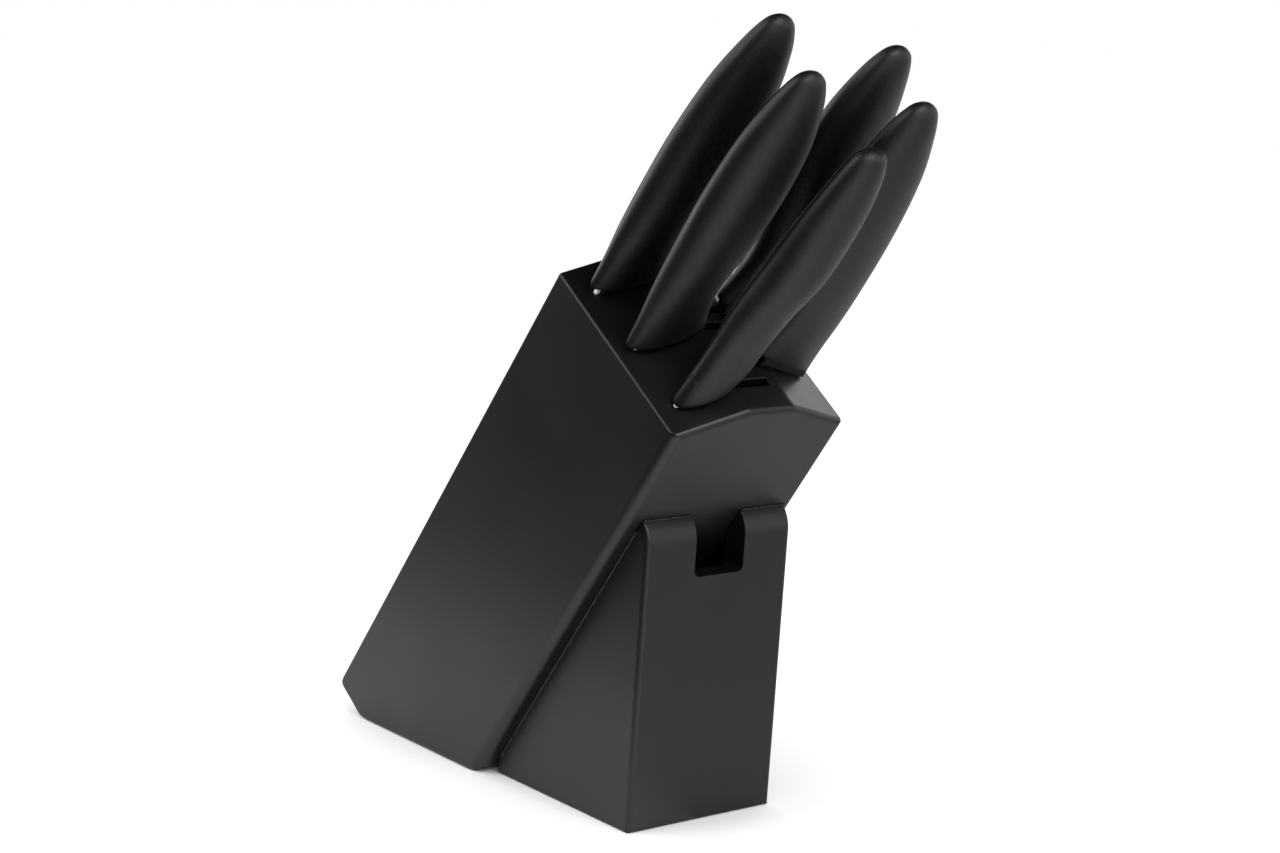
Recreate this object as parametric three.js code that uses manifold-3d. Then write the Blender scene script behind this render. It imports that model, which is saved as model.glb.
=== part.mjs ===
// Leaning knife block with five knives. Millimetres, +Z up.
// +X runs toward the stand at the front, +Y across the block; the origin is the
// middle of the leaning block's bottom face, on the table.
import * as THREE from 'three';
import { ConvexGeometry } from 'three/addons/geometries/ConvexGeometry.js';
import { mergeVertices } from 'three/addons/utils/BufferGeometryUtils.js';
import Module from 'manifold-3d';

const wasm = await Module();
wasm.setup();

// ---- driving dimensions --------------------------------------------------
const LEAN = THREE.MathUtils.degToRad(55.8);  // slope of the block and the slots
const BLOCK_WIDTH = 83;                       // across, along Y
const BLOCK_THICK = 86.5;                     // square to the lean
const UNDERSIDE_LENGTH = 186.7;               // table to the top front edge
const SQUARE_END = -45.6;                     // bottom end, cut square to the lean
const RIDGE_RISE = 10.4;                      // top facets rise this far
const NEAR_RIDGE = -10.5;                     // the two ridges of the faceted top
const FAR_RIDGE = 10.5;
const LONG_EDGE_CHAMFER = 3;                  // along the two underside edges
const GLUE = 0.1;                             // glue line between boards

const SLOT_THICK = 3.8;
const SLOT_EDGE = 7;                          // wood left at a slot's spine end
const SLOT_WIDTH = 41.1;
const SLOT_DEPTH = 172;

const STAND_NEAR = -33.3;                     // outer faces of the stand
const STAND_FAR = 37.9;
const STAND_FRONT = 84.4;                     // from the underside's bottom edge
const FRONT_BOARD = 10.5;
const SIDE_BOARD = 9;
const STAND_ROUND = 13;                       // rounded top of the front board
const STAND_ROUND_Z = 108.6;
const STAND_ROUND_ANGLE = 45;                 // degrees of arc, up to the underside
const STAND_TOE = 4;                          // side boards start this far forward
const STAND_GAP = 0.3;                        // between the stand and the block
const NOTCH_WIDTH = 24;
const NOTCH_Y = 2.7;
const NOTCH_BOTTOM = 95.4;
const NOTCH_RADIUS = 2.5;

const BLADE_THICK = 1.9;
const BLADE_CLEAR = 0.3;                      // blade spine to the end of its slot
const BLADE_DROP = 0.8;                       // blades lie on their slots' lower walls
const SHELL_GAP = 0.08;                       // each half to the parting plane
const TANG_CLEAR = 0.1;
const FRONT_ROUND = 1.2;                      // rounded rim of a handle's front end
const NECK_SPINE = 1;                         // each half runs on beside the blade as
const NECK_HALF = 2.6;                        // a thin neck, down to just above the
const NECK_GAP = 0.5;                         // faceted top
const NECK_ROOT = 12;

const cosLean = Math.cos(LEAN);
const sinLean = Math.sin(LEAN);
const halfWidth = BLOCK_WIDTH / 2;
// The underside meets the table here, so that the origin is mid bottom face.
const UNDERSIDE_X = -SQUARE_END / cosLean / 2;

// ---- materials -----------------------------------------------------------
const paint = { color: 0x17171a, roughness: 0.45, metalness: 0 };
const bareWood = { color: 0x2a2724, roughness: 0.8, metalness: 0 };
const softTouch = { color: 0x151516, roughness: 0.75, metalness: 0 };
const ceramic = { color: 0xf2f1ec, roughness: 0.2, metalness: 0 };

const block = new THREE.Group();
block.name = 'knife_block_with_knives';

// Everything in this group is measured along the lean: x up the slope from the
// underside's bottom edge, z square to it with 0 at the underside.
const leaning = new THREE.Group();
leaning.position.x = UNDERSIDE_X;
leaning.rotation.y = -LEAN;
block.add(leaning);

function addPiece(parent, name, geometry, finish) {
  const mesh = new THREE.Mesh(geometry, new THREE.MeshStandardMaterial(finish));
  mesh.name = name;
  parent.add(mesh);
}

// ---- convex boards -------------------------------------------------------
// A plane is [nx, ny, nz, d]; the solid is where n.p <= d for every plane.
function solidFromPlanes(planes) {
  const faces = planes.map(([x, y, z, d]) => {
    const normal = new THREE.Vector3(x, y, z);
    const length = normal.length();
    return { normal: normal.divideScalar(length), d: d / length };
  });
  const corners = [];
  for (let i = 0; i < faces.length; i += 1) {
    for (let j = i + 1; j < faces.length; j += 1) {
      for (let k = j + 1; k < faces.length; k += 1) {
        const corner = threePlaneCorner(faces[i], faces[j], faces[k]);
        const inside = corner && faces.every((f) => f.normal.dot(corner) <= f.d + 1e-6);
        if (inside && !corners.some((c) => c.distanceTo(corner) < 1e-4)) corners.push(corner);
      }
    }
  }
  return new ConvexGeometry(corners);
}

function threePlaneCorner(a, b, c) {
  const bc = new THREE.Vector3().crossVectors(b.normal, c.normal);
  const det = a.normal.dot(bc);
  if (Math.abs(det) < 1e-9) return null;
  const ca = new THREE.Vector3().crossVectors(c.normal, a.normal);
  const ab = new THREE.Vector3().crossVectors(a.normal, b.normal);
  return bc.multiplyScalar(a.d).addScaledVector(ca, b.d).addScaledVector(ab, c.d)
    .divideScalar(det);
}

// Planes every board shares: the table, the square bottom end, the faceted top.
const roofSlope = RIDGE_RISE / (halfWidth + NEAR_RIDGE);
const outerPlanes = [
  [-sinLean, 0, -cosLean, 0],
  [-1, 0, 0, -SQUARE_END],
  [1, 0, 0, UNDERSIDE_LENGTH + RIDGE_RISE],
  [1, -roofSlope, 0, UNDERSIDE_LENGTH + roofSlope * halfWidth],
  [1, roofSlope, 0, UNDERSIDE_LENGTH + roofSlope * halfWidth],
];

function slab(yMin, yMax, zMin, zMax) {
  return [[0, -1, 0, -yMin], [0, 1, 0, yMax], [0, 0, -1, -zMin], [0, 0, 1, zMax]];
}

// Slots from the underside to the back; "far" ones start at the far side.
const slots = [
  { name: 'slot_e', z: 14.2, far: false },
  { name: 'slot_d', z: 24.5, far: true },
  { name: 'slot_b', z: 44, far: false },
  { name: 'slot_c', z: 52, far: true },
  { name: 'slot_a', z: 73.5, far: false },
];

let boardBottom = 0;
slots.forEach((slot, index) => {
  const zMin = slot.z - SLOT_THICK / 2;
  const zMax = slot.z + SLOT_THICK / 2;
  const planes = outerPlanes.concat(slab(-halfWidth, halfWidth, boardBottom, zMin - GLUE));
  if (index === 0) {
    const reach = halfWidth - LONG_EDGE_CHAMFER;
    planes.push([0, 1, -1, reach], [0, -1, -1, reach]);
  }
  addPiece(leaning, `board_${index + 1}`, solidFromPlanes(planes), paint);

  // Strips either side of the slot, and a stop that closes its lower end.
  const open = slot.far
    ? [halfWidth - SLOT_EDGE - SLOT_WIDTH, halfWidth - SLOT_EDGE]
    : [-halfWidth + SLOT_EDGE, -halfWidth + SLOT_EDGE + SLOT_WIDTH];
  const nearStrip = slab(-halfWidth, open[0], zMin, zMax);
  const farStrip = slab(open[1], halfWidth, zMin, zMax);
  const stop = slab(open[0] + GLUE, open[1] - GLUE, zMin, zMax);
  stop.push([1, 0, 0, UNDERSIDE_LENGTH - SLOT_DEPTH]);
  addPiece(leaning, `${slot.name}_near_strip`, solidFromPlanes(outerPlanes.concat(nearStrip)), paint);
  addPiece(leaning, `${slot.name}_far_strip`, solidFromPlanes(outerPlanes.concat(farStrip)), paint);
  addPiece(leaning, `${slot.name}_stop`, solidFromPlanes(outerPlanes.concat(stop)), bareWood);
  boardBottom = zMax + GLUE;
});
const backBoard = slab(-halfWidth, halfWidth, boardBottom, BLOCK_THICK);
addPiece(leaning, 'board_6', solidFromPlanes(outerPlanes.concat(backBoard)), paint);

// ---- stand ---------------------------------------------------------------
function toManifold(geometry) {
  const plain = geometry.clone();
  plain.deleteAttribute('normal');
  plain.deleteAttribute('uv');
  const welded = mergeVertices(plain, 1e-4);
  return new wasm.Manifold(new wasm.Mesh({
    numProp: 3,
    vertProperties: new Float32Array(welded.attributes.position.array),
    triVerts: new Uint32Array(welded.index.array),
  }));
}

function toGeometry(manifold) {
  const mesh = manifold.getMesh();
  const geometry = new THREE.BufferGeometry();
  geometry.setAttribute('position', new THREE.BufferAttribute(mesh.vertProperties, 3));
  geometry.setIndex(new THREE.BufferAttribute(mesh.triVerts, 1));
  return geometry;
}

const frontX = UNDERSIDE_X + STAND_FRONT;
const frontInnerX = frontX - FRONT_BOARD;
const slope = Math.tan(LEAN);
// Height of the underside above the table, less the gap kept below it.
const underAt = (x) => (x - UNDERSIDE_X) * slope - STAND_GAP / cosLean;

// Extrude a profile drawn in X and Z along Y.
function alongY(points, yMin, yMax) {
  const shape = new THREE.Shape(points.map(([x, z]) => new THREE.Vector2(x, z)));
  const geometry = new THREE.ExtrudeGeometry(shape, { depth: yMax - yMin, bevelEnabled: false });
  geometry.rotateX(Math.PI / 2);
  geometry.translate(0, yMax, 0);
  return geometry;
}

// The front board's face rolls back into the underside.
const roundX = frontX - STAND_ROUND;
const roundPoints = [];
const ROUND_STEPS = 7;
for (let i = 0; i <= ROUND_STEPS; i += 1) {
  const angle = THREE.MathUtils.degToRad(STAND_ROUND_ANGLE) * (i / ROUND_STEPS);
  roundPoints.push([
    roundX + STAND_ROUND * Math.cos(angle),
    STAND_ROUND_Z + STAND_ROUND * Math.sin(angle),
  ]);
}
const rolled = roundPoints[ROUND_STEPS];
const frontProfile = [
  [frontInnerX, 0], [frontX, 0], ...roundPoints,
  [rolled[0], underAt(rolled[0])], [frontInnerX, underAt(frontInnerX)],
];
const notchShape = new THREE.Shape();
const notchHalf = NOTCH_WIDTH / 2;
const notchHeight = 40;
notchShape.moveTo(-notchHalf, notchHeight);
notchShape.lineTo(-notchHalf, NOTCH_RADIUS);
notchShape.absarc(-notchHalf + NOTCH_RADIUS, NOTCH_RADIUS, NOTCH_RADIUS, Math.PI, Math.PI * 1.5);
notchShape.absarc(notchHalf - NOTCH_RADIUS, NOTCH_RADIUS, NOTCH_RADIUS, Math.PI * 1.5, Math.PI * 2);
notchShape.lineTo(notchHalf, notchHeight);
const notch = new THREE.ExtrudeGeometry(notchShape, {
  depth: FRONT_BOARD * 2, bevelEnabled: false, curveSegments: 5,
});
// Stand the notch outline up in Y and Z, cutting along X.
notch.rotateX(Math.PI / 2);
notch.rotateZ(Math.PI / 2);
notch.translate(frontInnerX - FRONT_BOARD / 2, NOTCH_Y, NOTCH_BOTTOM);
const frontSolid = toManifold(alongY(frontProfile, STAND_NEAR, STAND_FAR));
addPiece(block, 'stand_front_board', toGeometry(frontSolid.subtract(toManifold(notch))), paint);

const sideEndX = frontInnerX - GLUE;
const sideStartX = UNDERSIDE_X + STAND_TOE;
const sideProfile = [
  [sideStartX, 0], [sideEndX, 0], [sideEndX, underAt(sideEndX)],
  [sideStartX, underAt(sideStartX)],
];
addPiece(block, 'stand_near_side', alongY(sideProfile, STAND_NEAR, STAND_NEAR + SIDE_BOARD), paint);
addPiece(block, 'stand_far_side', alongY(sideProfile, STAND_FAR - SIDE_BOARD, STAND_FAR), paint);

// ---- knives --------------------------------------------------------------
// Handle stations: x along the handle, spine and belly edges measured from the
// blade's spine line, and half the thickness there. slant sets the belly side of
// the front end back; neck is how far the neck reaches from the spine line.
const largeHandle = {
  slant: 11.3,
  neck: 27,
  stations: [
    [0, -1.8, 29, 6], [10, -2.1, 26.5, 6.8], [25, -3.3, 24.3, 8.1], [45, -4.2, 26.2, 9.5],
    [70, -5, 28.3, 9.8], [95, -3.6, 27.2, 8.6], [113, 0.7, 22.3, 6.5], [122, 4, 18, 4.3],
    [125.1, 7, 14.9, 2.5], [126.2, 9.6, 12.2, 0.6],
  ],
};
const smallHandle = {
  slant: 13.8,
  neck: 17,
  stations: [
    [0, -3.2, 19.7, 6.1], [10, -2.1, 21.6, 6.5], [25, -1.1, 22, 6.9], [45, -0.7, 23.6, 8.4],
    [65, 1.5, 27.8, 9.4], [90, 3.8, 28.4, 7.6], [107, 6.6, 25.2, 6.1], [115, 8.8, 22, 4.5],
    [117.7, 12, 20, 2.6], [118.6, 15.2, 17.7, 0.6],
  ],
};
const RINGS = 22;
const ARC_STEPS = 10;

// Join rings of equal length into one closed body with flat fan ends.
function loft(rings) {
  const count = rings[0].length;
  const positions = rings.flat().flatMap((p) => [p.x, p.y, p.z]);
  const indices = [];
  for (let r = 0; r + 1 < rings.length; r += 1) {
    for (let i = 0; i < count; i += 1) {
      const a = r * count + i;
      const b = r * count + ((i + 1) % count);
      indices.push(a, b, a + count, b, b + count, a + count);
    }
  }
  const last = (rings.length - 1) * count;
  for (let i = 1; i + 1 < count; i += 1) {
    indices.push(0, i + 1, i);
    indices.push(last, last + i, last + i + 1);
  }
  const geometry = new THREE.BufferGeometry();
  geometry.setAttribute('position', new THREE.Float32BufferAttribute(positions, 3));
  geometry.setIndex(indices);
  geometry.computeVertexNormals();
  return geometry;
}

// side is +1 for the half toward the back of the block, -1 for the front half;
// mirror is -1 for a knife whose spine lies to the far side.
function handleHalf(handle, knife, side, mirror) {
  const { stations, slant } = handle;
  const edges = new THREE.CatmullRomCurve3(stations.map((s) => new THREE.Vector3(s[0], s[1], s[2])));
  const bulge = new THREE.CatmullRomCurve3(stations.map((s) => new THREE.Vector3(s[0], s[3], 0)));
  const length = stations[stations.length - 1][0];
  const droop = THREE.MathUtils.degToRad(knife.droop);
  // Each section: place along the handle, how far ahead of it, how much smaller.
  const sections = [90, 45].map((degrees) => {
    const angle = THREE.MathUtils.degToRad(degrees);
    return [0, FRONT_ROUND * Math.sin(angle), FRONT_ROUND * (1 - Math.cos(angle))];
  });
  for (let r = 0; r <= RINGS; r += 1) sections.push([r / RINGS, 0, 0]);
  const rings = [];
  for (const [place, ahead, inset] of sections) {
    const edge = edges.getPoint(place);
    const half = bulge.getPoint(place).y - inset;
    const middle = (edge.y + edge.z) / 2;
    const reach = (edge.z - edge.y) / 2 - inset;
    const ring = [];
    for (let i = 0; i <= ARC_STEPS; i += 1) {
      const angle = Math.PI * (i / ARC_STEPS);
      const across = (1 - Math.cos(angle)) / 2;
      const x = edge.x - ahead + slant * across * (1 - edge.x / length) ** 3;
      const y = middle - reach * Math.cos(angle) + knife.shift;
      ring.push(new THREE.Vector3(
        x * Math.cos(droop) - y * Math.sin(droop),
        mirror * (x * Math.sin(droop) + y * Math.cos(droop)),
        side * (SHELL_GAP + half * Math.sin(angle)),
      ));
    }
    rings.push(side * mirror > 0 ? ring.reverse() : ring);
  }
  return loft(rings);
}

// The blade and its tang as rings of [x, spine, edge]; the cutting edge is
// ground from full thickness over the last part of its width.
const TANG = [[-2.4, 0, 14], [-1.6, 0, 14], [-0.6, 5, 13.8], [36, 7.5, 13.5], [40, 9, 13]];
const GRIND = 7;
const EDGE_THICK = 0.3;

function bladeOutline(length, width) {
  const tip = 0.3 * length;
  const outline = [];
  for (const part of [0, 0.08, 0.2, 0.4, 0.65, 1]) {
    const rise = Math.sqrt(1 - (1 - part) ** 2);
    outline.push([-length + part * tip, width * 0.3 * (1 - rise), width * (0.3 + 0.7 * rise)]);
  }
  outline.push([-2.8, 0, width]);
  return outline;
}

function bladeGeometry(length, width, mirror) {
  const rings = bladeOutline(length, width).concat(TANG).map(([x, spine, edge]) => {
    const ground = x < -2.5 ? edge - Math.min(GRIND, (edge - spine) / 2) : edge - 0.5;
    const thin = x < -2.5 ? EDGE_THICK / 2 : BLADE_THICK / 2;
    const half = BLADE_THICK / 2;
    const ring = [
      [spine, half], [spine, -half], [ground, -half], [edge, -thin], [edge, thin], [ground, half],
    ].map(([y, z]) => new THREE.Vector3(x, mirror * y, z));
    return mirror > 0 ? ring : ring.reverse();
  });
  return loft(rings);
}

function neckSolid(knife, side, mirror) {
  const inner = BLADE_THICK / 2 + TANG_CLEAR;
  const toTop = knife.lift - NECK_GAP - roofSlope * (SLOT_EDGE + BLADE_CLEAR);
  return toManifold(solidFromPlanes([
    [0, -mirror, 0, -NECK_SPINE],
    [0, mirror, 0, knife.handle.neck],
    [0, 0, -side, -inner],
    [0, 0, side, NECK_HALF],
    [1, 0, 0, NECK_ROOT],
    [-1, mirror * roofSlope, 0, toTop],
  ]));
}

// A box a little larger than the tang, cut from both handle halves.
function tangPocket(mirror) {
  const reach = 42;
  const pocket = new THREE.BoxGeometry(reach + 20, 9.8, BLADE_THICK + 2 * TANG_CLEAR);
  pocket.translate((reach - 20) / 2, mirror * 9.4, 0);
  return toManifold(pocket);
}

// lift: how far the handle's front stands above the underside's top edge;
// droop (degrees) and shift set the handle against the blade's spine line.
const knives = [
  {
    name: 'large_santoku', slot: 4, length: 160, width: 38,
    handle: largeHandle, lift: 6.3, droop: 3.8, shift: -1.9,
  },
  {
    name: 'small_santoku', slot: 2, length: 140, width: 36,
    handle: largeHandle, lift: 4.6, droop: 1.3, shift: -2.6,
  },
  {
    name: 'slicing', slot: 3, length: 130, width: 26,
    handle: largeHandle, lift: 9.9, droop: 0.4, shift: 1.9,
  },
  {
    name: 'utility', slot: 1, length: 110, width: 25,
    handle: largeHandle, lift: 8.3, droop: 3.7, shift: 1.5,
  },
  {
    name: 'paring', slot: 0, length: 75, width: 22,
    handle: smallHandle, lift: 4.1, droop: 3.1, shift: 2.1,
  },
];

for (const knife of knives) {
  const slot = slots[knife.slot];
  const mirror = slot.far ? -1 : 1;
  const group = new THREE.Group();
  group.position.set(
    UNDERSIDE_LENGTH + knife.lift,
    -mirror * (halfWidth - SLOT_EDGE - BLADE_CLEAR),
    slot.z - BLADE_DROP,
  );
  leaning.add(group);
  const blade = bladeGeometry(knife.length, knife.width, mirror);
  addPiece(group, `${knife.name}_blade`, blade, ceramic);
  const pocket = tangPocket(mirror);
  for (const [half, side] of [['back', 1], ['front', -1]]) {
    const shell = toManifold(handleHalf(knife.handle, knife, side, mirror))
      .add(neckSolid(knife, side, mirror)).subtract(pocket);
    addPiece(group, `${knife.name}_handle_${half}`, toGeometry(shell), softTouch);
  }
}

export default block;
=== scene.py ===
import math

import bmesh
import bpy
from mathutils import Matrix, Vector


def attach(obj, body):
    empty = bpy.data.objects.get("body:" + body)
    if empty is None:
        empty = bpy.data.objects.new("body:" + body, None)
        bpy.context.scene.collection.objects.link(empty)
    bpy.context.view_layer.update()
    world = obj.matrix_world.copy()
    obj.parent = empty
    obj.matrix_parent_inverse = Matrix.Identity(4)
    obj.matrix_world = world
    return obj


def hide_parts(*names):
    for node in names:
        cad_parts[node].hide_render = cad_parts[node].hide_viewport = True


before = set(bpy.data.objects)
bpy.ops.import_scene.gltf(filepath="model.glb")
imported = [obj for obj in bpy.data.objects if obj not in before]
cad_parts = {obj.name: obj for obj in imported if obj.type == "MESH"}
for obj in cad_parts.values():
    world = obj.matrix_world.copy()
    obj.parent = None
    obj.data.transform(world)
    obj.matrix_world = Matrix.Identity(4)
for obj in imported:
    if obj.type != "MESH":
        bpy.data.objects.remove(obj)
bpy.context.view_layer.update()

# ---- dimensions, millimetres ------------------------------------------------
MM = 0.001

# Block. Along the lean, x runs up the underside from its foot and z square to it.
LEAN = math.radians(55.8)
COS_LEAN = math.cos(LEAN)
SIN_LEAN = math.sin(LEAN)
HALF_WIDTH = 41.5
BLOCK_THICK = 86.5
UNDERSIDE_LENGTH = 186.7
SQUARE_END = -45.6
UNDERSIDE_X = -SQUARE_END / COS_LEAN / 2
RIDGE_RISE = 10.4
RIDGE_Y = 10.5
BOARD_COUNT = 6

# Block edges, as bevel widths.
END_ROUND = 5.0
UNDERSIDE_NEAR_ROUND = 4.2
UNDERSIDE_FAR_ROUND = 3.0
TOP_FRONT_ROUND = 2.3
LONG_ROUND = 1.2
TOP_ROUND = 0.8
SLOT_RIM_ROUND = 0.45

# Slots: each has its middle's z and whether it is in the far row.
SLOTS = {
    "slot_e": (14.2, False),
    "slot_d": (24.5, True),
    "slot_b": (44.0, False),
    "slot_c": (52.0, True),
    "slot_a": (73.5, False),
}
SLOT_THICK = 3.8
SLOT_EDGE = 7.0
SLOT_WIDTH = 41.1
SLOT_DEPTH = 172.0
SLOT_CUT_PAST = 40.0
BLADE_CLEAR = 0.3
BLADE_DROP = 0.8

# Stand.
STAND_NEAR = -33.3
STAND_FAR = 37.9
STAND_FRONT = UNDERSIDE_X + 84.4
STAND_TOE = 4.0
STAND_START = UNDERSIDE_X + STAND_TOE
STAND_GAP = 0.3
FRONT_BOARD = 10.5
SIDE_BOARD = 9.0
ROLL_RADIUS = 13.0
ROLL_Z = 108.6
ROLL_ANGLE = math.radians(45.0)
ROLL_X = STAND_FRONT - ROLL_RADIUS
ROLL_STEPS = 12
ROLL_FACE_SHARE = 0.68
NOTCH_WIDTH = 24.0
NOTCH_Y = 2.7
NOTCH_BOTTOM = 95.4
NOTCH_BEHIND = 6.0
NOTCH_RADIUS = 2.5
BOARD_ROUND = 4.0
FOOT_ROUND = 0.8
SEAM_ROUND = 0.5
CUT_ROUND = 0.7

# Beads of paint along the stand's joints.
BEAD_RADIUS = 0.45
BEAD_SIDES = 6
BEAD_PITCH = 0.8
BEAD_WAVES = (0.9, 0.23)
BEAD_SWELL = 0.4
BEAD_DRIFT = 0.12
BEAD_LIFT = 0.3
BEAD_END_GAP = 0.5
BEAD_NOTCH_GAP = 0.8
BEAD_SIDE_INSET = 0.1
BEAD_LOW_GAP = 1.0
BEAD_HIGH_GAP = 3.0

# Handles. A station is x along the handle, its spine and belly edges measured from
# the blade's spine line, and half its thickness. Slant sets the front end back at
# the belly, neck is how far the neck reaches from the spine line, split is how far
# the parting line lies off the middle, and step is how far one half stands proud.
LARGE = {
    "slant": 11.3,
    "neck": 27.0,
    "split": 5.5,
    "step": 0.0,
    "stations": [
        (0, -1.8, 29, 6), (10, -2.1, 26.5, 6.8), (25, -3.3, 24.3, 8.1), (45, -4.2, 26.2, 9.5),
        (70, -5, 28.3, 9.8), (95, -3.6, 27.2, 8.6), (113, 0.7, 22.3, 6.5), (122, 4, 18, 4.3),
        (125.1, 7, 14.9, 2.5), (126.2, 9.6, 12.2, 0.6),
    ],
}
LOW_FRONT = {**LARGE, "slant": 8.3}
SMALL = {
    "slant": 13.8,
    "neck": 17.0,
    "split": 3.2,
    "step": 0.2,
    "stations": [
        (0, -3.2, 19.7, 6.1), (10, -2.1, 21.6, 6.5), (25, -1.1, 22, 6.9), (45, -0.7, 23.6, 8.4),
        (65, 1.5, 27.8, 9.4), (90, 3.8, 28.4, 7.6), (107, 6.6, 25.2, 6.1), (115, 8.8, 22, 4.5),
        (117.7, 12, 20, 2.6), (118.6, 15.2, 17.7, 0.6),
    ],
}
SHELL_GAP = 0.02
LIP = 0.12
LIP_SHARE = 0.3
LIP_INSET = 4
SPLIT_SHARE = 0.6
FRONT_ROUND = 1.2
FRONT_ARC = (90, 68, 45, 22)
HANDLE_STEPS = 44
HANDLE_ARC_STEPS = 22
NECK_SPINE = 1.0
NECK_INNER = 1.0
NECK_HALF = 2.6
NECK_GAP = 0.5
NECK_ROOT = 12.0
NECK_ROUND = 0.3

# Blades. The tip is the share of the length over which the spine comes down and the
# edge up to the tip line, a share of the width from the spine.
BLADE_THICK = 1.9
EDGE_HALF = 0.12
GRIND = 7.0
TIP_SHARE = 0.3
TIP_EASE = 1.8
TIP_LINE = 0.3
TIP_BLUNT = 0.05
TIP_STEPS = 24
HEEL = -2.8
SPINE_SOFT = 0.25
TANG_CHAMFER = 0.5
TANG_SIDE = 0.3
TANG = [(-2.4, 0, 14), (-1.6, 0, 14), (-0.6, 5, 13.8), (36, 7.5, 13.5), (40, 9, 13)]

# Knives: lift and shift place the handle in its slot, droop tilts it in degrees.
KNIVES = [
    {"name": "large_santoku", "slot": "slot_a", "length": 160, "width": 38, "handle": LARGE,
     "lift": 6.3, "droop": 3.8, "shift": -1.9},
    {"name": "small_santoku", "slot": "slot_b", "length": 140, "width": 36, "handle": LARGE,
     "lift": 4.6, "droop": 1.3, "shift": -2.6},
    {"name": "slicing", "slot": "slot_c", "length": 130, "width": 26, "handle": LOW_FRONT,
     "lift": 9.9, "droop": 0.4, "shift": 1.9},
    {"name": "utility", "slot": "slot_d", "length": 110, "width": 25, "handle": LARGE,
     "lift": 8.3, "droop": 3.7, "shift": 1.5},
    {"name": "paring", "slot": "slot_e", "length": 75, "width": 22, "handle": SMALL,
     "lift": 4.1, "droop": 3.1, "shift": 2.1},
]


def along_lean(x, y, z):
    """A point measured along the lean, in millimetres, as a place in the frame in metres."""
    return Vector((
        (UNDERSIDE_X + x * COS_LEAN - z * SIN_LEAN) * MM,
        y * MM,
        (x * SIN_LEAN + z * COS_LEAN) * MM,
    ))


# ---- materials ----------------------------------------------------------------
def new_material(name, base, roughness):
    material = bpy.data.materials.new(name)
    material.use_nodes = True
    shader = material.node_tree.nodes["Principled BSDF"]
    shader.inputs["Base Color"].default_value = (*base, 1.0)
    shader.inputs["Roughness"].default_value = roughness
    return material, material.node_tree, shader


def add_noise(tree, coords, scale, detail):
    noise = tree.nodes.new("ShaderNodeTexNoise")
    noise.inputs["Scale"].default_value = scale
    noise.inputs["Detail"].default_value = detail
    tree.links.new(coords.outputs["Object"], noise.inputs["Vector"])
    return noise


def add_range(tree, source, low, high):
    """Spreads a noise's middle values over low to high."""
    spread = tree.nodes.new("ShaderNodeMapRange")
    spread.inputs["From Min"].default_value = 0.25
    spread.inputs["From Max"].default_value = 0.75
    spread.inputs["To Min"].default_value = low
    spread.inputs["To Max"].default_value = high
    tree.links.new(source, spread.inputs["Value"])
    return spread.outputs["Result"]


def add_bump(tree, shader, height, strength, distance):
    bump = tree.nodes.new("ShaderNodeBump")
    bump.inputs["Strength"].default_value = strength
    bump.inputs["Distance"].default_value = distance
    tree.links.new(height, bump.inputs["Height"])
    tree.links.new(bump.outputs["Normal"], shader.inputs["Normal"])


def paint_material():
    """Satin black paint: a faint orange peel, with the gloss drifting slightly."""
    material, tree, shader = new_material("satin_black_paint", (0.0022, 0.0022, 0.0023), 0.42)
    coords = tree.nodes.new("ShaderNodeTexCoord")
    drift = add_noise(tree, coords, scale=28.0, detail=3.0)
    gloss = add_range(tree, drift.outputs["Fac"], low=0.39, high=0.46)
    tree.links.new(gloss, shader.inputs["Roughness"])
    peel = add_noise(tree, coords, scale=900.0, detail=2.0)
    add_bump(tree, shader, peel.outputs["Fac"], strength=0.10, distance=0.0002)
    return material


def soft_touch_material():
    """Matt soft-touch coating with a fine leathery grain."""
    material, tree, shader = new_material("soft_touch_black", (0.0025, 0.0025, 0.0026), 0.50)
    coords = tree.nodes.new("ShaderNodeTexCoord")
    wear = add_noise(tree, coords, scale=60.0, detail=3.0)
    gloss = add_range(tree, wear.outputs["Fac"], low=0.46, high=0.54)
    tree.links.new(gloss, shader.inputs["Roughness"])
    grain = tree.nodes.new("ShaderNodeTexVoronoi")
    grain.inputs["Scale"].default_value = 1500.0
    tree.links.new(coords.outputs["Object"], grain.inputs["Vector"])
    add_bump(tree, shader, grain.outputs["Distance"], strength=0.30, distance=0.0002)
    return material


def ceramic_material():
    """White zirconia with fine grinding marks along the blade."""
    material, tree, shader = new_material("white_ceramic", (0.66, 0.65, 0.62), 0.22)
    shader.inputs["Subsurface Weight"].default_value = 0.15
    shader.inputs["Subsurface Scale"].default_value = 0.002
    coords = tree.nodes.new("ShaderNodeTexCoord")
    stretch = tree.nodes.new("ShaderNodeMapping")
    stretch.inputs["Scale"].default_value = (1.0, 0.05, 1.0)
    tree.links.new(coords.outputs["Object"], stretch.inputs["Vector"])
    marks = tree.nodes.new("ShaderNodeTexNoise")
    marks.inputs["Scale"].default_value = 2500.0
    tree.links.new(stretch.outputs["Vector"], marks.inputs["Vector"])
    gloss = add_range(tree, marks.outputs["Fac"], low=0.18, high=0.30)
    tree.links.new(gloss, shader.inputs["Roughness"])
    add_bump(tree, shader, marks.outputs["Fac"], strength=0.08, distance=0.0001)
    return material


PAINT = paint_material()
SOFT_TOUCH = soft_touch_material()
CERAMIC = ceramic_material()


# ---- mesh helpers -------------------------------------------------------------
def new_object(name, mesh, material):
    mesh.materials.clear()
    mesh.materials.append(material)
    obj = bpy.data.objects.new(name, mesh)
    bpy.context.scene.collection.objects.link(obj)
    return obj


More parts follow.
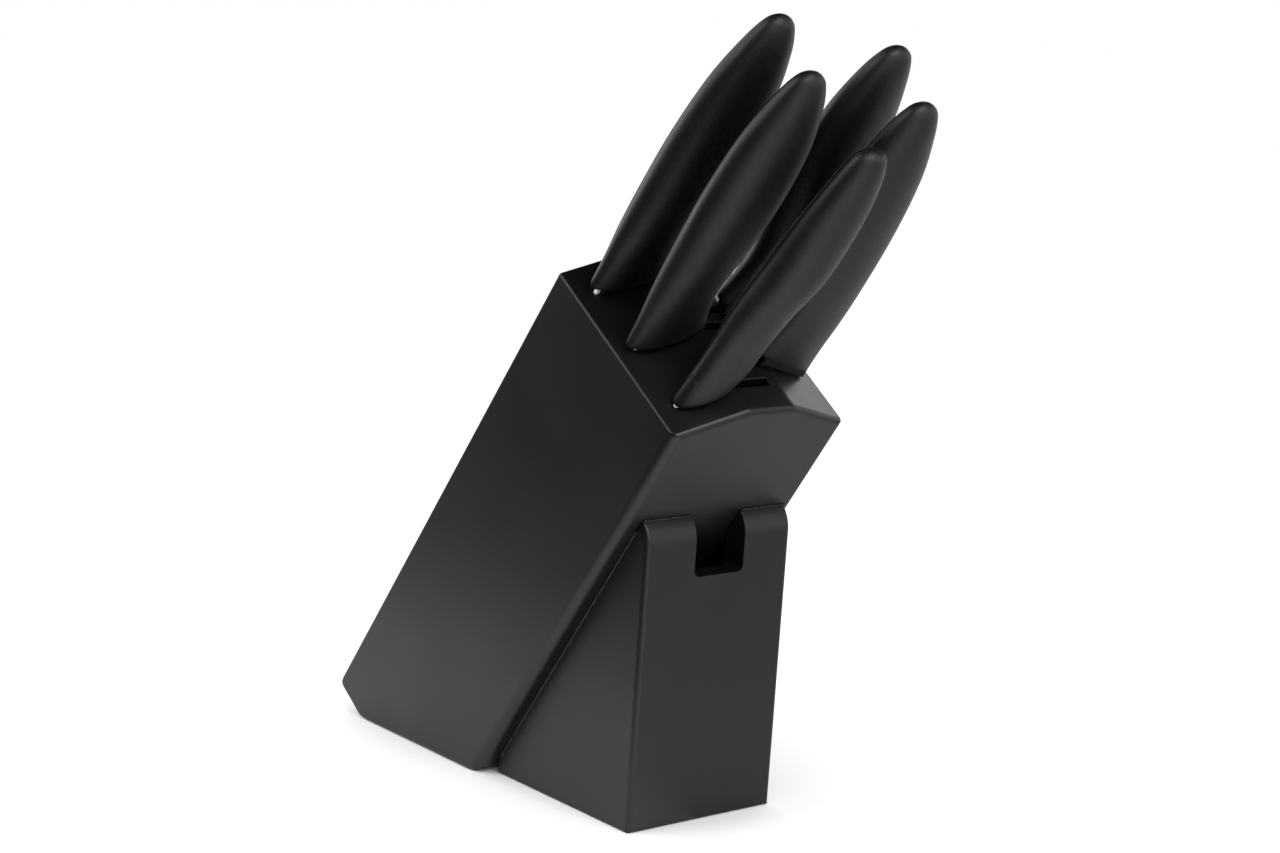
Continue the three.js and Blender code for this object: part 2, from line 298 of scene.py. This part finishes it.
def mesh_from(name, points, faces):
    mesh = bpy.data.meshes.new(name)
    mesh.from_pydata([tuple(p) for p in points], [], faces)
    mesh.update()
    edit = bmesh.new()
    edit.from_mesh(mesh)
    bmesh.ops.recalc_face_normals(edit, faces=edit.faces)
    edit.to_mesh(mesh)
    edit.free()
    return mesh


def set_edge_rounding(mesh, widest, width_of):
    """Stores each edge's bevel as a share of the widest, from width_of(a, b) of its ends."""
    weights = mesh.attributes.new("bevel_weight_edge", "FLOAT", "EDGE")
    for edge in mesh.edges:
        a, b = (mesh.vertices[i].co for i in edge.vertices)
        weights.data[edge.index].value = width_of(a, b) / widest


def add_bevel(obj, width, segments, by_weight):
    """Rounds the edges with a bevel weight, or else every edge sharper than 60 degrees."""
    bevel = obj.modifiers.new("rounding", "BEVEL")
    bevel.width = width * MM
    bevel.segments = segments
    if by_weight:
        bevel.limit_method = "WEIGHT"
    else:
        bevel.limit_method = "ANGLE"
        bevel.angle_limit = math.radians(60)


def cut(obj, cutter):
    boolean = obj.modifiers.new("cut", "BOOLEAN")
    boolean.operation = "DIFFERENCE"
    boolean.solver = "EXACT"
    boolean.object = cutter


def apply_all(obj, *helpers):
    """Turns the modifiers into plain geometry and removes the helper solids."""
    graph = bpy.context.evaluated_depsgraph_get()
    final = bpy.data.meshes.new_from_object(obj.evaluated_get(graph))
    obj.modifiers.clear()
    obj.data = final
    for helper in helpers:
        bpy.data.objects.remove(helper)


def smooth(obj):
    """Shades smoothly, with the large faces setting the normals of their rounded edges."""
    obj.data.shade_smooth()
    weighted = obj.modifiers.new("normals", "WEIGHTED_NORMAL")
    weighted.keep_sharp = True
    weighted.weight = 90


# The faces of a box whose corners run with z fastest and x slowest.
BOX_FACES = (
    (0, 1, 3, 2), (4, 6, 7, 5), (0, 4, 5, 1), (2, 3, 7, 6), (0, 2, 6, 4), (1, 5, 7, 3))


def box_mesh(name, place, low, high):
    """A box between two corners given in the coordinates that place() takes."""
    xs, ys, zs = zip(low, high)
    points = [place(x, y, z) for x in xs for y in ys for z in zs]
    return mesh_from(name, points, BOX_FACES)


def in_frame(x, y, z):
    """A point in the frame's own axes, in millimetres, as a place in metres."""
    return Vector((x, y, z)) * MM


# ---- block --------------------------------------------------------------------
def block_body():
    """The painted block as one solid: rounded outside, faceted top, five slots."""
    floor_z = -SQUARE_END * math.tan(LEAN)
    side = [
        (SQUARE_END, BLOCK_THICK), (SQUARE_END, floor_z), (0.0, 0.0),
        (UNDERSIDE_LENGTH, 0.0), (UNDERSIDE_LENGTH, BLOCK_THICK),
    ]
    ridge_x = UNDERSIDE_LENGTH + RIDGE_RISE
    points = [along_lean(x, y, z) for y in (-HALF_WIDTH, HALF_WIDTH) for x, z in side]
    points += [along_lean(ridge_x, y, z)
               for z in (0.0, BLOCK_THICK) for y in (-RIDGE_Y, RIDGE_Y)]
    near, far = range(0, 5), range(5, 10)
    front_near, front_far, back_near, back_far = 10, 11, 12, 13
    faces = [
        tuple(near), tuple(far),
        (near[0], near[1], far[1], far[0]),
        (near[1], near[2], far[2], far[1]),
        (near[2], near[3], front_near, front_far, far[3], far[2]),
        (near[0], near[4], back_near, back_far, far[4], far[0]),
        (near[3], near[4], back_near, front_near),
        (front_near, back_near, back_far, front_far),
        (far[3], far[4], back_far, front_far),
    ]
    mesh = mesh_from("block_body", points, faces)
    underside = {tuple(p) for p in (points[2], points[3], points[7], points[8])}
    top_front = {tuple(points[i]) for i in (3, 8, front_near, front_far)}
    top_back = {tuple(points[i]) for i in (4, 9, back_near, back_far)}
    ends = [{tuple(points[i]), tuple(points[i + 5])} for i in (0, 1)]

    def width_of(a, b):
        pair = {tuple(round(c, 6) for c in p) for p in (a, b)}

        def within(group):
            return pair <= {tuple(round(c, 6) for c in p) for p in group}

        across = round(a[1], 6) != round(b[1], 6)
        if within(top_front):
            return TOP_FRONT_ROUND
        if within(underside):
            return UNDERSIDE_NEAR_ROUND if min(a[1], b[1]) < 0 else UNDERSIDE_FAR_ROUND
        if any(within(end) for end in ends):
            return END_ROUND
        if within(top_back) or across:
            return TOP_ROUND
        return LONG_ROUND

    set_edge_rounding(mesh, END_ROUND, width_of)
    obj = new_object("block_body", mesh, PAINT)
    add_bevel(obj, END_ROUND, 4, True)
    helpers = []
    for name, (z, far_side) in SLOTS.items():
        near_y = HALF_WIDTH - SLOT_EDGE - SLOT_WIDTH if far_side else -HALF_WIDTH + SLOT_EDGE
        cutter = box_mesh(
            f"{name}_cutter", along_lean,
            (UNDERSIDE_LENGTH - SLOT_DEPTH, near_y, z - SLOT_THICK / 2),
            (UNDERSIDE_LENGTH + SLOT_CUT_PAST, near_y + SLOT_WIDTH, z + SLOT_THICK / 2))
        helper = new_object(f"{name}_cutter", cutter, PAINT)
        cut(obj, helper)
        helpers.append(helper)
    add_bevel(obj, SLOT_RIM_ROUND, 2, False)
    apply_all(obj, *helpers)
    smooth(obj)
    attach(obj, "block")
    nodes = [f"board_{i}" for i in range(1, BOARD_COUNT + 1)]
    for name in SLOTS:
        nodes += [f"{name}_near_strip", f"{name}_far_strip", f"{name}_stop"]
    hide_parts(*nodes)


# ---- stand --------------------------------------------------------------------
def under_at(x):
    """The height of the stand's sloping top at x, just clear of the block's underside."""
    return (x - UNDERSIDE_X) * math.tan(LEAN) - STAND_GAP / COS_LEAN


def prism_y(name, profile, y_min, y_max):
    """A solid with one (x, z) outline from y_min to y_max, in millimetres."""
    count = len(profile)
    points = [in_frame(x, y, z) for y in (y_min, y_max) for x, z in profile]
    faces = [tuple(range(count)), tuple(range(count, 2 * count))]
    for i in range(count):
        j = (i + 1) % count
        faces.append((i, j, j + count, i + count))
    return mesh_from(name, points, faces)


def stand_body():
    """The painted stand: two sides and a front board whose top rolls back, notched."""
    roll = []
    for i in range(ROLL_STEPS + 1):
        angle = ROLL_ANGLE * i / ROLL_STEPS
        roll.append((
            ROLL_X + ROLL_RADIUS * math.cos(angle), ROLL_Z + ROLL_RADIUS * math.sin(angle)))
    profile = [
        (STAND_START, 0.0), (STAND_FRONT, 0.0), *roll, (STAND_START, under_at(STAND_START))]
    mesh = prism_y("stand_body", profile, STAND_NEAR, STAND_FAR)
    # Everything ahead of this is the front board's face or its rolled top.
    face_x = (ROLL_X + ROLL_RADIUS * ROLL_FACE_SHARE) * MM
    ground = 0.1 * MM

    def width_of(a, b):
        along = abs(a[1] - b[1]) < 1e-6
        on_face = min(a[0], b[0]) > face_x
        if along and on_face and max(a[2], b[2]) > ground:
            return BOARD_ROUND
        if max(a[2], b[2]) < ground:
            return FOOT_ROUND
        if along:
            return SEAM_ROUND
        return 0.0

    set_edge_rounding(mesh, BOARD_ROUND, width_of)
    obj = new_object("stand_body", mesh, PAINT)
    add_bevel(obj, BOARD_ROUND, 4, True)
    inner_x = STAND_FRONT - FRONT_BOARD
    # The two cutters run well past the faces they open.
    behind, ahead, below, above = STAND_START - 20, STAND_FRONT + 10, -20, 200
    hollow = new_object("hollow_cutter", box_mesh(
        "hollow_cutter", in_frame, (behind, STAND_NEAR + SIDE_BOARD, below),
        (inner_x, STAND_FAR - SIDE_BOARD, above)), PAINT)
    cut(obj, hollow)
    notch = new_object("notch_cutter", box_mesh(
        "notch_cutter", in_frame,
        (inner_x - NOTCH_BEHIND, NOTCH_Y - NOTCH_WIDTH / 2, NOTCH_BOTTOM),
        (ahead, NOTCH_Y + NOTCH_WIDTH / 2, above)), PAINT)
    add_bevel(notch, NOTCH_RADIUS, 4, False)
    cut(obj, notch)
    add_bevel(obj, CUT_ROUND, 3, False)
    apply_all(obj, hollow, notch)
    smooth(obj)
    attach(obj, "block")
    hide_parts("stand_front_board", "stand_near_side", "stand_far_side")


# ---- knives -------------------------------------------------------------------
def catmull(stations, t):
    """The stations' smooth curve at t from 0 to 1."""
    last = len(stations) - 1
    place = min(t * last, last - 1e-6)
    i = int(place)
    u = place - i
    at = [Vector(stations[min(max(k, 0), last)]) for k in range(i - 1, i + 3)]
    if i == 0:
        at[0] = at[1] * 2 - at[2]
    if i == last - 1:
        at[3] = at[2] * 2 - at[1]
    return 0.5 * (
        at[1] * 2 + (at[2] - at[0]) * u
        + (at[0] * 2 - at[1] * 5 + at[2] * 4 - at[3]) * u ** 2
        + (at[1] * 3 - at[0] - at[2] * 3 + at[3]) * u ** 3)


def loft(name, rings):
    """A solid skinned over closed rings with equal numbers of points."""
    count = len(rings[0])
    points = [p for ring in rings for p in ring]
    faces = []
    for r in range(len(rings) - 1):
        for i in range(count):
            j = (i + 1) % count
            faces.append((
                r * count + i, r * count + j, (r + 1) * count + j, (r + 1) * count + i))
    faces.append(tuple(range(count)))
    faces.append(tuple(range((len(rings) - 1) * count, len(rings) * count)))
    return mesh_from(name, points, faces)


def handle_sections():
    """Places along a handle: t from 0 to 1, and for the rounded front rim ahead and inset."""
    sections = []
    for degrees in FRONT_ARC:
        angle = math.radians(degrees)
        sections.append((
            0.0, FRONT_ROUND * math.sin(angle), FRONT_ROUND * (1 - math.cos(angle))))
    for i in range(HANDLE_STEPS + 1):
        sections.append((i / HANDLE_STEPS, 0.0, 0.0))
    return sections


def half_section(reach, half, turned):
    """One half of an oval, closed along the parting line at the angle turned."""
    lip = min(LIP, reach * LIP_SHARE, half * LIP_SHARE)
    edge_y, edge_z = reach * math.cos(turned), half * math.sin(turned)
    section = [(-edge_y + LIP_INSET * lip, edge_z)]
    for k in range(HANDLE_ARC_STEPS + 1):
        angle = turned + (math.pi - 2 * turned) * k / HANDLE_ARC_STEPS
        out = max(half * math.sin(angle), edge_z + lip)
        section.append((-reach * math.cos(angle), out))
    section.append((edge_y - LIP_INSET * lip, edge_z))
    return section


def handle_half(name, knife, side, place):
    """One moulded half of a handle: side is 1 for the half at the back, -1 at the front."""
    handle = knife["handle"]
    length = handle["stations"][-1][0]
    droop = math.radians(knife["droop"])
    step = handle["step"] if side > 0 else 0.0
    rings = []
    for t, ahead, inset in handle_sections():
        x, spine, belly, half = catmull(handle["stations"], t)
        middle = (spine + belly) / 2
        reach = (belly - spine) / 2 - inset
        half = half - inset
        turned = side * math.asin(min(handle["split"] / half, SPLIT_SHARE))
        reach, half = reach + step, half + step
        fade = (1 - x / length) ** 3
        points = []
        for across, out in half_section(reach, half, turned):
            share = min(max((across / reach + 1) / 2, 0), 1)
            px = x - ahead + handle["slant"] * share * fade
            py = middle + across + knife["shift"]
            points.append(place(
                px * math.cos(droop) - py * math.sin(droop),
                px * math.sin(droop) + py * math.cos(droop),
                side * (SHELL_GAP + out)))
        rings.append(points)
    obj = new_object(name, loft(name, rings), SOFT_TOUCH)
    obj.data.shade_smooth()
    return obj


def blade(name, knife, place):
    """A flat blade ground over its last few millimetres, with a tang in the handle."""
    length, width = knife["length"], knife["width"]
    tip = TIP_SHARE * length
    outline = []
    for i in range(TIP_STEPS + 1):
        part = (i / TIP_STEPS) ** TIP_EASE
        rise = math.sqrt(1 - (1 - part) ** 2)
        outline.append((
            -length + part * tip,
            width * TIP_LINE * (1 - rise),
            width * (TIP_LINE + (1 - TIP_LINE) * rise) + TIP_BLUNT))
    outline.append((HEEL, 0, width))
    rings = []
    half = BLADE_THICK / 2
    for x, spine, edge in outline + TANG:
        if x <= HEEL:
            ground, thin = edge - min(GRIND, (edge - spine) / 2), EDGE_HALF
        else:
            ground, thin = edge - TANG_CHAMFER, half - TANG_SIDE
        soft = min(SPINE_SOFT, (edge - spine) / 6)
        ring = [
            (spine + soft, half), (spine, half - soft), (spine, -half + soft),
            (spine + soft, -half), (ground, -half), (edge, -thin), (edge, thin), (ground, half),
        ]
        rings.append([place(x, y, z) for y, z in ring])
    obj = new_object(name, loft(name, rings), CERAMIC)
    obj.data.shade_flat()
    return obj


def neck(name, knife, side, place):
    """The thin part of a handle half that runs down beside the blade, above the faceted top.

    Where it reaches past the blade's cutting edge it closes in on its twin.
    """
    slope = RIDGE_RISE / (HALF_WIDTH - RIDGE_Y)
    reach = knife["handle"]["neck"]
    past_edge = knife["width"] + BLADE_CLEAR
    spans = [(NECK_SPINE, reach, NECK_INNER, math.inf)]
    if past_edge < reach:
        spans.append((past_edge, reach, SHELL_GAP, RIDGE_RISE))
    points, faces = [], []
    for y_from, y_to, inner, highest in spans:
        first = len(points)
        for z in (inner, NECK_HALF):
            for y in (y_from, y_to):
                top = min(slope * (SLOT_EDGE + BLADE_CLEAR + y), highest)
                end = top + NECK_GAP - knife["lift"]
                points += [place(end, y, side * z), place(NECK_ROOT, y, side * z)]
        faces += [tuple(first + i for i in face) for face in BOX_FACES]
    obj = new_object(name, mesh_from(name, points, faces), SOFT_TOUCH)
    add_bevel(obj, NECK_ROUND, 2, False)
    return obj


def build_knife(knife):
    """A blade, and for each half of the handle a grip and a neck, on the knife's own body."""
    slot_z, far_side = SLOTS[knife["slot"]]
    mirror = -1 if far_side else 1
    spine_y = -mirror * (HALF_WIDTH - SLOT_EDGE - BLADE_CLEAR)

    def place(x, y, z):
        """x up from the rest height, y from the spine line toward the cutting edge."""
        return along_lean(
            UNDERSIDE_LENGTH + knife["lift"] + x, spine_y + mirror * y, slot_z - BLADE_DROP + z)

    body = f"{knife['name']}_knife"
    ground = blade(f"{knife['name']}_blade_ground", knife, place)
    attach(ground, body)
    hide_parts(f"{knife['name']}_blade")
    for half, side in (("back", 1), ("front", -1)):
        grip = handle_half(f"{knife['name']}_grip_{half}", knife, side, place)
        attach(grip, body)
        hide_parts(f"{knife['name']}_handle_{half}")
        collar = neck(f"{knife['name']}_neck_{half}", knife, side, place)
        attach(collar, body)


def paint_bead(name, start, end):
    """A thin uneven bead of paint left along a joint, between two places in millimetres."""
    start, end = Vector(start), Vector(end)
    axis = (end - start).normalized()
    across = axis.orthogonal().normalized()
    other = axis.cross(across)
    steps = int((end - start).length / BEAD_PITCH)
    rings = []
    for i in range(steps + 1):
        share = i / steps
        uneven = math.sin(BEAD_WAVES[0] * i) * math.sin(BEAD_WAVES[1] * i + 1)
        radius = BEAD_RADIUS * (1 + BEAD_SWELL * uneven)
        centre = start.lerp(end, share) + across * BEAD_DRIFT * uneven
        ring = []
        for k in range(BEAD_SIDES):
            angle = math.tau * k / BEAD_SIDES
            spoke = across * math.cos(angle) + other * math.sin(angle)
            ring.append((centre + spoke * radius) * MM)
        rings.append(ring)
    obj = new_object(name, loft(name, rings), PAINT)
    obj.data.shade_smooth()
    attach(obj, "block")


def paint_beads():
    """Beads where the stand's rolled top and its two sides meet the block."""
    top_x = ROLL_X + ROLL_RADIUS * math.cos(ROLL_ANGLE)
    top_z = ROLL_Z + ROLL_RADIUS * math.sin(ROLL_ANGLE) + BEAD_LIFT
    notch_reach = NOTCH_WIDTH / 2 + BEAD_NOTCH_GAP
    for name, y_from, y_to in (
        ("near", STAND_NEAR + BEAD_END_GAP, NOTCH_Y - notch_reach),
        ("far", NOTCH_Y + notch_reach, STAND_FAR - BEAD_END_GAP),
    ):
        paint_bead(f"paint_bead_front_{name}", (top_x, y_from, top_z), (top_x, y_to, top_z))
    low_x, high_x = STAND_START + BEAD_LOW_GAP, top_x - BEAD_HIGH_GAP
    for name, y in (
        ("near", STAND_NEAR + BEAD_SIDE_INSET), ("far", STAND_FAR - BEAD_SIDE_INSET),
    ):
        paint_bead(
            f"paint_bead_side_{name}",
            (low_x, y, under_at(low_x)), (high_x, y, under_at(high_x)))


block_body()
stand_body()
paint_beads()
for one in KNIVES:
    build_knife(one)


# ---- studio -------------------------------------------------------------------
def stage_plane(name, centre, normal, width, height, material):
    """A flat sheet of the studio, in metres, facing along normal."""
    mesh = mesh_from(name, [
        (-width / 2, -height / 2, 0), (width / 2, -height / 2, 0),
        (width / 2, height / 2, 0), (-width / 2, height / 2, 0)], [(0, 1, 2, 3)])
    obj = new_object(name, mesh, material)
    turn = Vector(normal).to_track_quat("Z", "Y").to_matrix().to_4x4()
    obj.matrix_world = Matrix.Translation(centre) @ turn
    return obj


def only_reflected(obj):
    """Keeps a flag or card out of everything but the gloss: unseen, casting no shadow."""
    obj.visible_camera = False
    obj.visible_diffuse = False
    obj.visible_shadow = False
    obj.visible_transmission = False


def softbox(name, place, target, width, height, watts):
    """A soft lamp that lights the object but isn't seen by the camera."""
    lamp = bpy.data.lights.new(name, "AREA")
    lamp.shape = "RECTANGLE"
    lamp.size = width
    lamp.size_y = height
    lamp.energy = watts
    obj = bpy.data.objects.new(name, lamp)
    bpy.context.scene.collection.objects.link(obj)
    aim = Vector(target) - Vector(place)
    obj.matrix_world = Matrix.Translation(place) @ aim.to_track_quat("-Z", "Y").to_matrix().to_4x4()
    obj.visible_camera = False


floor_material, _, _ = new_material("pale_floor", (0.9, 0.9, 0.9), 0.9)
flag_material, _, flag_shader = new_material("black_flag", (0.0, 0.0, 0.0), 1.0)
flag_shader.inputs["Specular IOR Level"].default_value = 0.0
# Painted shadow: a mid-grey card on the floor near the block, seen only in the gloss, stands in for
# the block's shadow on the floor.
block_shadow_sheet_material, _, _ = new_material("painted_block_shadow_grey", (0.55, 0.55, 0.55), 1.0)
# Painted shade: a grey card on the floor to the right, seen only in the gloss, stands in for the
# shaded right side of the floor.
floor_shade_sheet_material, _, _ = new_material("painted_floor_shade_grey", (0.30, 0.30, 0.30), 1.0)

UP, DOWN, ACROSS = (0, 0, 1), (0, 0, -1), (0, 1, 0)
stage_plane("floor", (0, 0, -0.0003), UP, 12, 12, floor_material)

# Each sheet's name, centre, the way it faces, width, height and material.
REFLECTED_SHEETS = (
    ("ceiling_flag", (0, 0.60, 1.5), DOWN, 3.0, 3.8, flag_material),
    ("side_flag", (0.05, -0.40, 0.31), ACROSS, 1.1, 0.62, flag_material),
    ("left_dark", (-0.45, -0.78, 0.001), UP, 2.4, 1.2, flag_material),
    # Painted shadow of the block on the floor, seen only in the gloss.
    ("painted_block_shadow_card", (0.0, 0.35, 0.0006), UP, 0.5, 0.7, block_shadow_sheet_material),
    # Painted shade of the floor on the object's shaded right side, seen only in the gloss.
    ("painted_floor_shade_card", (1.05, 0.8, 0.0008), UP, 1.6, 1.5, floor_shade_sheet_material),
)
for sheet in REFLECTED_SHEETS:
    only_reflected(stage_plane(*sheet))

BLOCK_MIDDLE = (0.10, 0, 0.18)
HANDLES_FOOT = (0.10, 0, 0.25)
# Each lamp's name, place, target, width, height and watts.
SOFTBOXES = (
    ("edge_softbox", (-0.18, -0.94, 0.94), (0.07, 0, 0.20), 0.35, 0.35, 4.0),
    ("left_softbox", (-0.93, -0.21, 0.36), HANDLES_FOOT, 0.3, 0.3, 0.9),
    ("front_left_softbox", (-0.59, -0.80, 0.75), HANDLES_FOOT, 0.4, 0.3, 2.0),
    ("back_softbox", (-0.55, 1.25, 0.70), BLOCK_MIDDLE, 0.6, 0.3, 1.3),
    ("right_softbox", (1.05, 0.0, 1.00), HANDLES_FOOT, 0.4, 0.4, 6.0),
)
for lamp_settings in SOFTBOXES:
    softbox(*lamp_settings)

world = bpy.data.worlds.new("studio")
bpy.context.scene.world = world
world.use_nodes = True
sky = world.node_tree.nodes["Background"]
sky.inputs["Color"].default_value = (1, 1, 1, 1)
sky.inputs["Strength"].default_value = 1.1
world.cycles.sampling_method = "NONE"

bpy.context.scene.view_settings.view_transform = "Standard"


# ---- camera -------------------------------------------------------------------
CAMERA_ANGLES = (40.33, 10.97, 3.87)
CAMERA_TARGET = (77.8, -0.5, 142.8)
CAMERA_DISTANCE = 1.039
CAMERA_LENS = 76.55


def add_camera():
    """Looks at the target from an azimuth, an elevation and a roll in degrees."""
    azimuth, elevation, roll = (math.radians(angle) for angle in CAMERA_ANGLES)
    target = Vector(CAMERA_TARGET) * MM
    toward = Vector((
        math.cos(elevation) * math.cos(azimuth),
        -math.cos(elevation) * math.sin(azimuth),
        math.sin(elevation)))
    right = Vector((0, 0, 1)).cross(toward).normalized()
    up = toward.cross(right)
    rolled_right = math.cos(roll) * right + math.sin(roll) * up
    rolled_up = -math.sin(roll) * right + math.cos(roll) * up
    camera = bpy.data.objects.new("camera", bpy.data.cameras.new("camera"))
    bpy.context.scene.collection.objects.link(camera)
    axes = Matrix((rolled_right, rolled_up, toward)).transposed().to_4x4()
    camera.matrix_world = Matrix.Translation(target + toward * CAMERA_DISTANCE) @ axes
    camera.data.sensor_width = 36
    camera.data.lens = CAMERA_LENS
    camera.data.clip_start = 0.01
    bpy.context.scene.camera = camera


add_camera()
